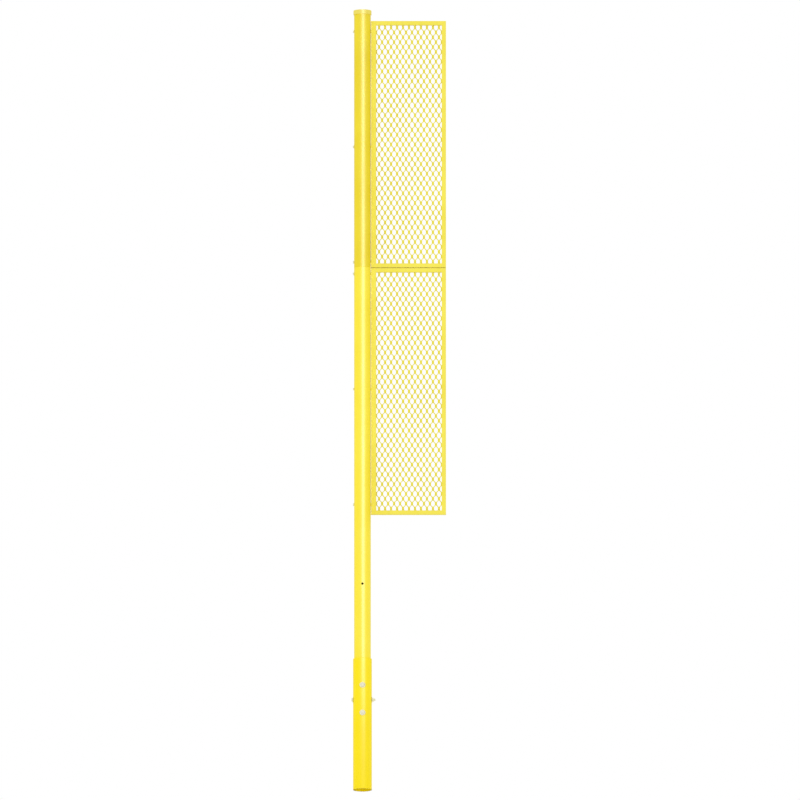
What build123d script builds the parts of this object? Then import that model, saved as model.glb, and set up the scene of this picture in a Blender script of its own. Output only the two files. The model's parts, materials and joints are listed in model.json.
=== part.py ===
from build123d import *
import math
import os

# Baseball foul pole: a round steel pole in a ground sleeve, with a screened wing on one side.
# Millimetres. The origin is on the pole's axis at the sleeve's bottom end, +Z is up, the wing
# points along +X, and the face seen from the field is -Y.

# Pole, in two sections of the same tube that butt on each other
POLE_OD = 101.6
POLE_WALL = 3.05
POLE_END_BREAK = 0.8
CLEAR_POLE_LENGTH = 892.0  # between the sleeve's top and the wing's bottom
POLE_ABOVE_WING = 62.0

# Ground sleeve, a heavy pipe that the pole stands in
SLEEVE_WALL = 6.02
SLEEVE_LENGTH = 812.8
SLEEVE_CLEARANCE = 0.33  # radial, around the pole
SLEEVE_TOP_ROUND = 3.5
INSERTION_DEPTH = 627.0  # of the pole in the sleeve

# Splice tube inside the pole, across the joint of its two sections
SPLICE_LENGTH = 457.2
SPLICE_WALL = 4.78
SPLICE_CLEARANCE = 0.25  # radial, inside the pole

# Cap over the pole's top end
CAP_HEIGHT = 27.0
CAP_THICKNESS = 3.0
CAP_WALL = 4.0
CAP_CLEARANCE = 0.15  # radial, around the pole
CAP_TOP_ROUND = 3.0

# Wing: two framed panels of rectangular tube, one above the other
WING_WIDTH = 457.2
PANEL_HEIGHT = 1527.2
PANEL_GAP = 3.2
INNER_STILE_WIDTH = 31.75
OUTER_STILE_WIDTH = 25.4
RAIL_WIDTH = 25.4
FRAME_DEPTH = 25.4
FRAME_WALL = 2.1
FRAME_CORNER_RADIUS = 3.2

# Expanded metal screen in each frame, with the long way of its diamonds upright
SCREEN_THICKNESS = 6.0  # of the raised strands, front to back
SCREEN_EDGE_GAP = 0.5
DIAMOND_WIDTH = 36.5
DIAMOND_HEIGHT = 60.4
STRAND_WIDTH = 6.6
BOND_LENGTH = 17.0
SCREEN_BAND = 3.0
SMALLEST_OPENING = 20.0  # square millimetres, of an opening that the edge band cuts short

# Wing fasteners: hex bolts through the pole into threaded inserts in the inner stile
WING_BOLT_D = 9.525
WING_BOLT_HOLE_D = 10.3
WING_BOLT_REACH = 9.55  # past the stile's outer face
WING_HEAD_FLATS = 14.3
WING_HEAD_HEIGHT = 6.0
WING_WASHER_OD = 20.6
WING_WASHER_THICKNESS = 1.65
JOINT_END_INSET = 34.9  # of the first bolt from the panel's end at the pole's joint
FAR_END_INSET = 63.5
INSERT_FLANGE_OD = 17.5
INSERT_FLANGE_THICKNESS = 1.5
INSERT_BODY_OD = 13.5
INSERT_BULGE_OD = 16.6
INSERT_BULGE_LENGTH = 4.0
INSERT_LENGTH = 17.0
INSERT_HOLE_CLEARANCE = 0.1  # radial, in the stile's wall

# Sleeve fasteners: hex bolts right through the sleeve and the pole
SLEEVE_BOLT_D = 12.7
SLEEVE_BOLT_HOLE_D = 14.3
SLEEVE_HEAD_FLATS = 19.05
SLEEVE_HEAD_HEIGHT = 8.0
SLEEVE_WASHER_OD = 34.9
SLEEVE_WASHER_THICKNESS = 2.7
SLEEVE_NUT_HEIGHT = 11.1
THREAD_PAST_NUT = 8.9
UPPER_BOLT_DROP = 171.45  # below the sleeve's top
MIDDLE_BOLT_DROP = 254.0
LOWER_BOLT_DROP = 342.9
SPARE_HOLE_RISE = 457.2  # above the sleeve's top

# Common to the fasteners and the rounds
THREAD_CLEARANCE = 0.05  # radial, between a bolt and its nut or insert
WASHER_CLEARANCE = 0.4  # radial, between a bolt and its washer
BOLT_TIP_CHAMFER = 1.0
HEX_CORNER_DROP = 1.2  # of a hexagon's corners below its end face
HEX_CORNER_INSET = 1.9
LARGEST_ROUND_SHARE = 0.8  # of the wall that a round is on

# Worked out from the sizes above
POLE_RADIUS = POLE_OD / 2
POLE_BORE_RADIUS = POLE_RADIUS - POLE_WALL
SLEEVE_RADIUS = POLE_RADIUS + SLEEVE_CLEARANCE + SLEEVE_WALL
POLE_BOTTOM = SLEEVE_LENGTH - INSERTION_DEPTH
WING_BOTTOM = SLEEVE_LENGTH + CLEAR_POLE_LENGTH
POLE_JOINT = WING_BOTTOM + PANEL_HEIGHT + PANEL_GAP / 2
UPPER_PANEL_BOTTOM = POLE_JOINT + PANEL_GAP / 2
POLE_TOP = UPPER_PANEL_BOTTOM + PANEL_HEIGHT + POLE_ABOVE_WING
STILE_FACE = POLE_RADIUS + INSERT_FLANGE_THICKNESS
WING_EDGE = STILE_FACE + WING_WIDTH

LOWER_PANEL_BOLTS = {
    "top": POLE_JOINT - PANEL_GAP / 2 - JOINT_END_INSET,
    "middle": WING_BOTTOM + (PANEL_HEIGHT - JOINT_END_INSET + FAR_END_INSET) / 2,
    "bottom": WING_BOTTOM + FAR_END_INSET,
}
UPPER_PANEL_BOLTS = {
    "top": UPPER_PANEL_BOTTOM + PANEL_HEIGHT - FAR_END_INSET,
    "middle": UPPER_PANEL_BOTTOM + (PANEL_HEIGHT + JOINT_END_INSET - FAR_END_INSET) / 2,
    "bottom": UPPER_PANEL_BOTTOM + JOINT_END_INSET,
}
WING_BOLT_HEIGHTS = [*LOWER_PANEL_BOLTS.values(), *UPPER_PANEL_BOLTS.values()]

SLEEVE_BOLTS = {
    "upper": (SLEEVE_LENGTH - UPPER_BOLT_DROP, Vector(0, 1, 0)),
    "middle": (SLEEVE_LENGTH - MIDDLE_BOLT_DROP, Vector(1, 0, 0)),
    "lower": (SLEEVE_LENGTH - LOWER_BOLT_DROP, Vector(0, 1, 0)),
}

FROM_BELOW = (Align.CENTER, Align.CENTER, Align.MIN)


def cylinder(radius, bottom, top):
    """Solid cylinder on the Z axis between two heights."""
    return Pos(0, 0, bottom) * Cylinder(radius, top - bottom, align=FROM_BELOW)


def tube(radius, bore_radius, bottom, top):
    """Round tube on the Z axis between two heights."""
    return cylinder(radius, bottom, top) - cylinder(bore_radius, bottom, top)


def cross_hole(diameter, height, direction):
    """Cutter for a hole right through the pole and its sleeve, along a level direction."""
    length = 4 * SLEEVE_RADIUS
    across = Plane(origin=(0, 0, height), z_dir=direction)
    return across * Cylinder(diameter / 2, length)


def sleeve_bolt_holes():
    """Cutters for the three cross bolts of the sleeve."""
    return [cross_hole(SLEEVE_BOLT_HOLE_D, z, way) for z, way in SLEEVE_BOLTS.values()]


def wing_bolt_holes(bottom, top):
    """Cutters for the wing bolts that pass between two heights."""
    heights = [z for z in WING_BOLT_HEIGHTS if bottom < z < top]
    return [cross_hole(WING_BOLT_HOLE_D, z, Vector(1, 0, 0)) for z in heights]


def outer_end_edges(part, radius):
    """The circular edges of a given radius at the ends of a tube."""
    circles = part.edges().filter_by(GeomType.CIRCLE)
    return [edge for edge in circles if math.isclose(edge.radius, radius, abs_tol=0.01)]


def ground_sleeve():
    """Pipe set in the footing, with a rounded top edge."""
    pipe = tube(SLEEVE_RADIUS, POLE_RADIUS + SLEEVE_CLEARANCE, 0, SLEEVE_LENGTH)
    top_edge = ShapeList(outer_end_edges(pipe, SLEEVE_RADIUS)).sort_by(Axis.Z)[-1]
    pipe = fillet(top_edge, min(SLEEVE_TOP_ROUND, LARGEST_ROUND_SHARE * SLEEVE_WALL))
    return pipe - sleeve_bolt_holes()


def pole_section(bottom, top, holes):
    """Length of pole tube with broken end edges and cross holes."""
    section = tube(POLE_RADIUS, POLE_BORE_RADIUS, bottom, top)
    section = chamfer(outer_end_edges(section, POLE_RADIUS), POLE_END_BREAK)
    return section - holes


def lower_pole():
    """Lower section, from inside the sleeve up to the joint."""
    spare_hole = cross_hole(SLEEVE_BOLT_HOLE_D, SLEEVE_LENGTH + SPARE_HOLE_RISE, Vector(0, 1, 0))
    holes = [*sleeve_bolt_holes(), *wing_bolt_holes(POLE_BOTTOM, POLE_JOINT), spare_hole]
    return pole_section(POLE_BOTTOM, POLE_JOINT, holes)


def upper_pole():
    """Upper section, from the joint up to the cap."""
    return pole_section(POLE_JOINT, POLE_TOP, wing_bolt_holes(POLE_JOINT, POLE_TOP))


def splice_tube():
    """Inner tube across the joint, pinned by the wing bolts next to it."""
    radius = POLE_BORE_RADIUS - SPLICE_CLEARANCE
    bottom = POLE_JOINT - SPLICE_LENGTH / 2
    top = POLE_JOINT + SPLICE_LENGTH / 2
    return tube(radius, radius - SPLICE_WALL, bottom, top) - wing_bolt_holes(bottom, top)


def pole_cap():
    """Flat cap with a skirt that slips over the pole's end."""
    bore = POLE_RADIUS + CAP_CLEARANCE
    radius = bore + CAP_WALL
    top = POLE_TOP + CAP_THICKNESS
    shell = cylinder(radius, top - CAP_HEIGHT, top)
    top_edge = shell.edges().filter_by(GeomType.CIRCLE).sort_by(Axis.Z)[-1]
    shell = fillet(top_edge, min(CAP_TOP_ROUND, LARGEST_ROUND_SHARE * CAP_WALL))
    return shell - cylinder(bore, top - CAP_HEIGHT, POLE_TOP)


def box_tube(width, length):
    """Rectangular tube on the Z axis: width along X, the frame's depth along Y."""
    outside = RectangleRounded(width, FRAME_DEPTH, FRAME_CORNER_RADIUS)
    inner_radius = FRAME_CORNER_RADIUS - FRAME_WALL
    inside = RectangleRounded(width - 2 * FRAME_WALL, FRAME_DEPTH - 2 * FRAME_WALL, inner_radius)
    return Pos(0, 0, -length / 2) * extrude(outside - inside, length)


def mitre_block(corners):
    """Block with the outline of one frame member in the X-Z plane, to cut its mitres."""
    outline = Plane.XZ * make_face(Polyline(*corners, close=True))
    return extrude(outline, FRAME_DEPTH, both=True)


def stile(bottom, outer_x, inner_x):
    """Upright frame member, with mitred ends, from its outer side to the screen's side."""
    top = bottom + PANEL_HEIGHT
    corners = [
        (outer_x, bottom),
        (inner_x, bottom + RAIL_WIDTH),
        (inner_x, top - RAIL_WIDTH),
        (outer_x, top),
    ]
    centre = Pos((outer_x + inner_x) / 2, 0, (bottom + top) / 2)
    return centre * box_tube(abs(inner_x - outer_x), PANEL_HEIGHT) & mitre_block(corners)


def inner_stile(bottom, bolt_heights):
    """Stile beside the pole, with holes for its threaded inserts in the near wall."""
    hole_radius = INSERT_BODY_OD / 2 + INSERT_HOLE_CLEARANCE
    member = stile(bottom, STILE_FACE, STILE_FACE + INNER_STILE_WIDTH)
    hole = Cylinder(hole_radius, 2 * FRAME_WALL)
    return member - [Plane(origin=(STILE_FACE, 0, z), z_dir=(1, 0, 0)) * hole for z in bolt_heights]


def rail(outer_z, inner_z):
    """Level frame member, with mitred ends, from its outer side to the screen's side."""
    corners = [
        (STILE_FACE, outer_z),
        (STILE_FACE + INNER_STILE_WIDTH, inner_z),
        (WING_EDGE - OUTER_STILE_WIDTH, inner_z),
        (WING_EDGE, outer_z),
    ]
    centre = Pos((STILE_FACE + WING_EDGE) / 2, 0, (outer_z + inner_z) / 2)
    return centre * Rot(0, 90, 0) * box_tube(RAIL_WIDTH, WING_WIDTH) & mitre_block(corners)


def diamond_corners():
    """Corners of one opening about its centre: a diamond with its upper and lower points cut off."""
    half_width = DIAMOND_WIDTH / 2
    half_height = DIAMOND_HEIGHT / 2
    strand_offset = half_width * half_height / math.hypot(half_width, half_height)
    shrink = 1 - STRAND_WIDTH / 2 / strand_offset
    side = half_width * shrink
    end = (DIAMOND_HEIGHT - BOND_LENGTH) / 2
    end_half = side * (1 - end / (half_height * shrink))
    return [(side, 0), (end_half, end), (-end_half, end), (-side, 0), (-end_half, -end), (end_half, -end)]


def clipped(corners, axis, limit):
    """The part of a convex outline whose coordinate on an axis is within plus or minus a limit."""
    for sign in (1, -1):
        kept = []
        for start, end in zip(corners, corners[1:] + corners[:1]):
            room_start = limit - sign * start[axis]
            room_end = limit - sign * end[axis]
            if room_start >= 0:
                kept.append(start)
            if room_start * room_end < 0:
                share = room_start / (room_start - room_end)
                kept.append(tuple(p + share * (q - p) for p, q in zip(start, end)))
        corners = kept
    return corners


def outline_area(corners):
    """Area inside a closed outline."""
    pairs = zip(corners, corners[1:] + corners[:1])
    return abs(sum(a[0] * b[1] - b[0] * a[1] for a, b in pairs)) / 2


def screen_openings(width, height):
    """Outlines of all the openings inside a sheet's edge band, in staggered rows about its centre."""
    half_columns = math.ceil(width / DIAMOND_WIDTH) + 1
    half_rows = math.ceil(height / DIAMOND_HEIGHT) + 1
    outlines = []
    for row in range(-half_rows, half_rows + 1):
        for column in range(-half_columns, half_columns + 1):
            if (row + column) % 2 == 0:
                continue
            x = column * DIAMOND_WIDTH / 2
            z = row * DIAMOND_HEIGHT / 2
            corners = [(x + dx, z + dz) for dx, dz in diamond_corners()]
            corners = clipped(corners, 0, width / 2 - SCREEN_BAND)
            corners = clipped(corners, 1, height / 2 - SCREEN_BAND) if corners else []
            if len(corners) > 2 and outline_area(corners) > SMALLEST_OPENING:
                outlines.append(corners)
    return outlines


def closed_wire(corners):
    """Straight-sided closed wire in the X-Z plane."""
    return Wire.make_polygon([Vector(x, 0, z) for x, z in corners], close=True)


def screen(bottom):
    """Expanded metal sheet that fills a panel's frame, with a narrow edge band for its welds."""
    width = WING_WIDTH - INNER_STILE_WIDTH - OUTER_STILE_WIDTH - 2 * SCREEN_EDGE_GAP
    height = PANEL_HEIGHT - 2 * RAIL_WIDTH - 2 * SCREEN_EDGE_GAP
    corners = [(width / 2, height / 2), (-width / 2, height / 2)]
    corners += [(-x, -z) for x, z in corners]
    openings = [closed_wire(outline) for outline in screen_openings(width, height)]
    sheet = Solid.extrude(Face(closed_wire(corners), openings), Vector(0, SCREEN_THICKNESS, 0))
    centre_x = (STILE_FACE + INNER_STILE_WIDTH + WING_EDGE - OUTER_STILE_WIDTH) / 2
    return Pos(centre_x, -SCREEN_THICKNESS / 2, bottom + PANEL_HEIGHT / 2) * sheet


def hexagon(flats, height):
    """Hexagonal prism up from the X-Y plane, its top corners turned down."""
    prism = extrude(RegularPolygon(flats / 2, 6, major_radius=False), height)
    corner_radius = flats / math.sqrt(3)
    blank = Cylinder(corner_radius, height, align=FROM_BELOW)
    rim = blank.edges().filter_by(GeomType.CIRCLE).sort_by(Axis.Z)[-1]
    blank = chamfer(rim, HEX_CORNER_DROP, HEX_CORNER_INSET)
    return prism & blank


def hex_bolt(diameter, length, flats, head_height):
    """Bolt along +Z with the underside of its head in the X-Y plane."""
    shank = Cylinder(diameter / 2, length, align=FROM_BELOW)
    tip = shank.edges().filter_by(GeomType.CIRCLE).sort_by(Axis.Z)[-1]
    shank = chamfer(tip, BOLT_TIP_CHAMFER)
    return shank + Rot(180, 0, 0) * hexagon(flats, head_height)


def washer(diameter, bolt_diameter, thickness):
    """Flat washer up from the X-Y plane."""
    hole = Cylinder(bolt_diameter / 2 + WASHER_CLEARANCE, thickness, align=FROM_BELOW)
    return Cylinder(diameter / 2, thickness, align=FROM_BELOW) - hole


def hex_nut(diameter, flats, height):
    """Hex nut up from the X-Y plane."""
    hole = Cylinder(diameter / 2 + THREAD_CLEARANCE, height, align=FROM_BELOW)
    return hexagon(flats, height) - hole


def threaded_insert():
    """Blind-side insert along +Z: flange below the X-Y plane, body and set bulge above it."""
    flange = Pos(0, 0, -INSERT_FLANGE_THICKNESS) * Cylinder(
        INSERT_FLANGE_OD / 2, INSERT_FLANGE_THICKNESS, align=FROM_BELOW
    )
    body = Cylinder(INSERT_BODY_OD / 2, INSERT_LENGTH, align=FROM_BELOW)
    bulge = cylinder(INSERT_BULGE_OD / 2, FRAME_WALL, FRAME_WALL + INSERT_BULGE_LENGTH)
    bore = cylinder(WING_BOLT_D / 2 + THREAD_CLEARANCE, -INSERT_FLANGE_THICKNESS, INSERT_LENGTH)
    return flange + body + bulge - bore


def wing_fasteners(panel, heights):
    """Bolts, washers and inserts of one panel."""
    length = WING_WASHER_THICKNESS + POLE_OD + INSERT_FLANGE_THICKNESS + WING_BOLT_REACH
    bolt = hex_bolt(WING_BOLT_D, length, WING_HEAD_FLATS, WING_HEAD_HEIGHT)
    plate = washer(WING_WASHER_OD, WING_BOLT_D, WING_WASHER_THICKNESS)
    insert = threaded_insert()
    pieces = {}
    for spot, z in heights.items():
        under_head = Plane(origin=(-POLE_RADIUS - WING_WASHER_THICKNESS, 0, z), z_dir=(1, 0, 0))
        stile_face = Plane(origin=(STILE_FACE, 0, z), z_dir=(1, 0, 0))
        pieces[f"{panel}_wing_bolt_{spot}"] = under_head * bolt
        pieces[f"{panel}_wing_washer_{spot}"] = under_head * plate
        pieces[f"{panel}_wing_insert_{spot}"] = stile_face * insert
    return pieces


def sleeve_fasteners():
    """Cross bolts of the sleeve, each with two washers and a nut."""
    seat = SLEEVE_RADIUS + SLEEVE_WASHER_THICKNESS
    length = 2 * seat + SLEEVE_NUT_HEIGHT + THREAD_PAST_NUT
    bolt = hex_bolt(SLEEVE_BOLT_D, length, SLEEVE_HEAD_FLATS, SLEEVE_HEAD_HEIGHT)
    plate = washer(SLEEVE_WASHER_OD, SLEEVE_BOLT_D, SLEEVE_WASHER_THICKNESS)
    nut = hex_nut(SLEEVE_BOLT_D, SLEEVE_HEAD_FLATS, SLEEVE_NUT_HEIGHT)
    pieces = {}
    for spot, (z, way) in SLEEVE_BOLTS.items():
        centre = Vector(0, 0, z)
        pieces[f"sleeve_bolt_{spot}"] = Plane(origin=centre - way * seat, z_dir=way) * bolt
        pieces[f"sleeve_head_washer_{spot}"] = Plane(origin=centre - way * seat, z_dir=way) * plate
        pieces[f"sleeve_nut_washer_{spot}"] = Plane(origin=centre + way * SLEEVE_RADIUS, z_dir=way) * plate
        pieces[f"sleeve_nut_{spot}"] = Plane(origin=centre + way * seat, z_dir=way) * nut
    return pieces


def wing_panel(panel, bottom, bolt_heights):
    """Frame, screen and fasteners of one panel of the wing."""
    top = bottom + PANEL_HEIGHT
    return {
        f"{panel}_inner_stile": inner_stile(bottom, bolt_heights.values()),
        f"{panel}_outer_stile": stile(bottom, WING_EDGE, WING_EDGE - OUTER_STILE_WIDTH),
        f"{panel}_top_rail": rail(top, top - RAIL_WIDTH),
        f"{panel}_bottom_rail": rail(bottom, bottom + RAIL_WIDTH),
        f"{panel}_screen": screen(bottom),
        **wing_fasteners(panel, bolt_heights),
    }


def foul_pole():
    """All pieces by name."""
    return {
        "ground_sleeve": ground_sleeve(),
        "lower_pole": lower_pole(),
        "upper_pole": upper_pole(),
        "splice_tube": splice_tube(),
        "pole_cap": pole_cap(),
        **wing_panel("upper", UPPER_PANEL_BOTTOM, UPPER_PANEL_BOLTS),
        **wing_panel("lower", WING_BOTTOM, LOWER_PANEL_BOLTS),
        **sleeve_fasteners(),
    }


os.makedirs("parts", exist_ok=True)
for node, shape in foul_pole().items():
    export_step(shape, f"parts/{node}.step")
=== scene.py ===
"""Foul pole with a screened wing: meshes, finishes, light and camera round the fixed frame."""

import json
import logging
import math
from dataclasses import dataclass, field
from enum import Enum
from typing import Any, Iterable, Optional, Sequence, Union

import bmesh
import bpy
from mathutils import Euler, Matrix, Vector

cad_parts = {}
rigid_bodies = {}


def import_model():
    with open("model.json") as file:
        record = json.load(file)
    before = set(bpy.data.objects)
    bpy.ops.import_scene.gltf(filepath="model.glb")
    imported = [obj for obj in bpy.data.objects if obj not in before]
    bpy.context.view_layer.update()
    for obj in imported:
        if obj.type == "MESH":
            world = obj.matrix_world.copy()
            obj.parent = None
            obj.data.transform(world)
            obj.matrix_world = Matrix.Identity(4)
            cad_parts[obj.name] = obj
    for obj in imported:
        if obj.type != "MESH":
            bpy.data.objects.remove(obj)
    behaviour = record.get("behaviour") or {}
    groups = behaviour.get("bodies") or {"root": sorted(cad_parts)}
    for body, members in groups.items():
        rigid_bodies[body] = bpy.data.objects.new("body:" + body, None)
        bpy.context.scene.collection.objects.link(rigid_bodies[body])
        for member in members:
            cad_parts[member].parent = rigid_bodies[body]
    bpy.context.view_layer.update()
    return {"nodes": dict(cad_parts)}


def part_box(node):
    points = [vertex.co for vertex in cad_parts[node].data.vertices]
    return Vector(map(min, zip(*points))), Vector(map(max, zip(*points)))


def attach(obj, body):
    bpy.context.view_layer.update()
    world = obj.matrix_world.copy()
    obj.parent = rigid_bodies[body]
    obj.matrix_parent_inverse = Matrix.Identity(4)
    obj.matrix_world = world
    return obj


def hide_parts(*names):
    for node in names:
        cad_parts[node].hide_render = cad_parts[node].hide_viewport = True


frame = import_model()

MM = 0.001
BODY = "root"
LOG = logging.getLogger("foul_pole")

PANELS = ("upper", "lower")
WING_SPOTS = ("top", "middle", "bottom")


class Axis(Enum):
    """Level direction that a cross hole or a bolt runs along."""

    ACROSS = (1.0, 0.0, 0.0)
    FRONT_TO_BACK = (0.0, 1.0, 0.0)

    @property
    def vector(self) -> Vector:
        """Unit vector of the direction."""
        return Vector(self.value)


class Side(Enum):
    """Side of a mitred frame member that faces the outside of the panel."""

    LEFT = "left"
    RIGHT = "right"
    TOP = "top"
    BOTTOM = "bottom"


SLEEVE_BOLT_AXES = {
    "upper": Axis.FRONT_TO_BACK,
    "middle": Axis.ACROSS,
    "lower": Axis.FRONT_TO_BACK,
}


# ------ sizes from the frame


def centre_of(node: str) -> Vector:
    """Middle of a CAD node's box, in metres."""
    low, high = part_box(node)
    return (low + high) / 2


def extent_of(node: str) -> Vector:
    """Length of a CAD node's box along X, Y and Z, in metres."""
    low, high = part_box(node)
    return high - low


# ------ colour and node helpers

Socket = bpy.types.NodeSocket
Tree = bpy.types.NodeTree
Material = bpy.types.Material


def linear(hex_colour: str) -> tuple[float, float, float, float]:
    """Turns an sRGB hex colour into linear light.

    Args:
        hex_colour: six hex digits, such as "F2C200".

    Returns:
        Red, green, blue and an alpha of 1.
    """
    parts = [int(hex_colour[i : i + 2], 16) / 255 for i in (0, 2, 4)]
    light = [c / 12.92 if c <= 0.04045 else ((c + 0.055) / 1.055) ** 2.4 for c in parts]
    return (light[0], light[1], light[2], 1.0)


def add_node(
    tree: Tree,
    kind: str,
    settings: Optional[dict[str, Any]] = None,
    links: Optional[dict[str, Socket]] = None,
) -> bpy.types.Node:
    """Adds a node with its settings and links.

    Args:
        tree: node tree that takes the node.
        kind: Blender's identifier of the node type.
        settings: socket values and node properties by name.
        links: output sockets by the name of the input that they feed.

    Returns:
        The new node.
    """
    node = tree.nodes.new(kind)
    for name, value in (settings or {}).items():
        if name in node.inputs:
            node.inputs[name].default_value = value
        else:
            setattr(node, name, value)
    for name, source in (links or {}).items():
        tree.links.new(source, node.inputs[name])
    return node


def per_metre(size_mm: float) -> float:
    """Pattern scale whose features are about a given size in millimetres."""
    return 1.0 / (size_mm * MM)


def new_material(name: str) -> tuple[Material, Tree, Socket]:
    """Starts a node material.

    Args:
        name: name of the material.

    Returns:
        The material, its empty node tree and the object's own coordinates, in metres.
    """
    made = bpy.data.materials.new(name)
    made.use_nodes = True
    tree = made.node_tree
    tree.nodes.clear()
    return made, tree, add_node(tree, "ShaderNodeTexCoord").outputs["Object"]


def stretched(tree: Tree, coords: Socket, along_z: float) -> Socket:
    """Coordinates whose Z counts by a share, which draws a pattern out along Z."""
    settings = {"Scale": (1.0, 1.0, along_z)}
    return add_node(tree, "ShaderNodeMapping", settings, {"Vector": coords}).outputs["Vector"]


def noise(tree: Tree, coords: Socket, size_mm: float, **settings: float) -> Socket:
    """Noise whose features are about a given size in millimetres."""
    settings = {"Scale": per_metre(size_mm), **settings}
    return add_node(tree, "ShaderNodeTexNoise", settings, {"Vector": coords}).outputs["Fac"]


def remap(
    tree: Tree,
    value: Socket,
    target: tuple[float, float] = (0.0, 1.0),
    source: tuple[float, float] = (0.0, 1.0),
) -> Socket:
    """Maps a value from one range onto another and holds it there.

    Args:
        tree: node tree that takes the node.
        value: the value to map.
        target: lowest and highest results.
        source: values that give them.

    Returns:
        The mapped value.
    """
    names = ("From Min", "From Max", "To Min", "To Max")
    settings = dict(zip(names, (*source, *target)))
    return add_node(tree, "ShaderNodeMapRange", settings, {"Value": value}).outputs["Result"]


def blend(
    tree: Tree, share: Socket, first: Union[str, Socket], second: str, mode: str = "MIX"
) -> Socket:
    """Blends two colours.

    Args:
        tree: node tree that takes the node.
        share: how much of the second colour is used.
        first: sRGB hex colour, or the socket of a colour.
        second: sRGB hex colour.
        mode: Blender's identifier of the way to blend.

    Returns:
        The blended colour.
    """
    settings = {"data_type": "RGBA", "blend_type": mode}
    node = add_node(tree, "ShaderNodeMix", settings, {"Factor": share})
    if isinstance(first, str):
        node.inputs[6].default_value = linear(first)
    else:
        tree.links.new(first, node.inputs[6])
    node.inputs[7].default_value = linear(second)
    return node.outputs[2]


def bumped(tree: Tree, height: Socket, strength: float, depth_mm: float) -> Socket:
    """Normal of a bump whose depth is given in millimetres."""
    settings = {"Strength": strength, "Distance": depth_mm * MM}
    return add_node(tree, "ShaderNodeBump", settings, {"Height": height}).outputs["Normal"]


def close_tree(tree: Tree, settings: dict[str, float], links: dict[str, Socket]) -> None:
    """Adds the surface shader and sends it to the material's output."""
    shader = add_node(tree, "ShaderNodeBsdfPrincipled", settings, links)
    add_node(tree, "ShaderNodeOutputMaterial", links={"Surface": shader.outputs["BSDF"]})


# ------ finishes


@dataclass(frozen=True)
class PowderCoat:
    """Polyester powder coat on steel, sprayed dry and baked: deep colour under a glossy skin.

    The cured film pulls up into a fine orange peel, so a highlight breaks up softly at its edges.
    """

    name: str
    colour: str
    thin_colour: str
    roughness: float = 0.39
    roughness_spread: tuple[float, float] = (-0.04, 0.09)
    specular: float = 0.14
    cloud_mm: float = 260.0
    cloud_range: tuple[float, float] = (0.32, 0.68)
    streak_mm: float = 18.0
    streak_along_z: float = 0.045
    grime: float = 0.10
    grime_range: tuple[float, float] = (0.56, 0.78)
    grime_colour: str = "8A7A2E"
    gloss_range: tuple[float, float] = (0.3, 0.75)
    peel_mm: float = 2.2
    peel_depth_mm: float = 0.035
    peel_strength: float = 0.45

    def material(self) -> Material:
        """Builds the finish.

        Returns:
            The material, with colour, roughness and bump from noise in the object's own metres.
        """
        made, tree, coords = new_material(self.name)

        # film build varies slowly along a sprayed tube, and shows as a deeper or thinner yellow
        film = noise(tree, coords, self.cloud_mm, Detail=3.0, Roughness=0.55)
        cloud = remap(tree, film, source=self.cloud_range)
        colour = blend(tree, cloud, self.colour, self.thin_colour)

        # rain streaks run down the upright faces, long along Z and narrow across
        fall = stretched(tree, coords, self.streak_along_z)
        streaks = noise(tree, fall, self.streak_mm, Detail=5.0, Roughness=0.62)
        soil = remap(tree, streaks, (0.0, self.grime), self.grime_range)
        soiled = blend(tree, soil, colour, self.grime_colour, "MULTIPLY")

        # the streaks dull the gloss a little, and the peel breaks up the highlight
        low, high = self.roughness_spread
        dulled = (self.roughness + low, self.roughness + high)
        peel = noise(tree, coords, self.peel_mm, Detail=2.0, Roughness=0.5)
        close_tree(
            tree,
            {"IOR": 1.5, "Specular IOR Level": self.specular},
            {
                "Base Color": soiled,
                "Roughness": remap(tree, streaks, dulled, self.gloss_range),
                "Normal": bumped(tree, peel, self.peel_strength, self.peel_depth_mm),
            },
        )
        return made


@dataclass(frozen=True)
class ZincPlate:
    """Barrel-plated zinc on steel: half-matt with a faint milky grain, and a near-white colour that
    is pale zinc lifted by a painted highlight.
    """

    name: str
    # near-white colours: pale zinc lifted by a painted highlight on the heads and washers, as the
    # strip light is kept off the zinc
    colour: str = "FAF7DC"
    dull_colour: str = "E4E1C8"
    grain_mm: float = 0.9
    grain_depth_mm: float = 0.01
    grain_strength: float = 0.15
    stain_mm: float = 9.0
    stain_range: tuple[float, float] = (0.4, 0.7)
    roughness: float = 0.42
    dull_roughness: float = 0.62
    metallic: float = 0.4

    def material(self) -> Material:
        """Builds the finish.

        Returns:
            The material, with grain and dull patches in its colour, roughness and bump.
        """
        made, tree, coords = new_material(self.name)
        stain = noise(tree, coords, self.stain_mm, Detail=4.0, Roughness=0.6)
        patch = remap(tree, stain, source=self.stain_range)
        scale = {"Scale": per_metre(self.grain_mm)}
        grain = add_node(tree, "ShaderNodeTexVoronoi", scale, {"Vector": coords})
        height = grain.outputs["Distance"]
        close_tree(
            tree,
            {"Metallic": self.metallic},
            {
                "Base Color": blend(tree, patch, self.colour, self.dull_colour),
                "Roughness": remap(tree, stain, (self.roughness, self.dull_roughness)),
                "Normal": bumped(tree, height, self.grain_strength, self.grain_depth_mm),
            },
        )
        return made


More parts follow.
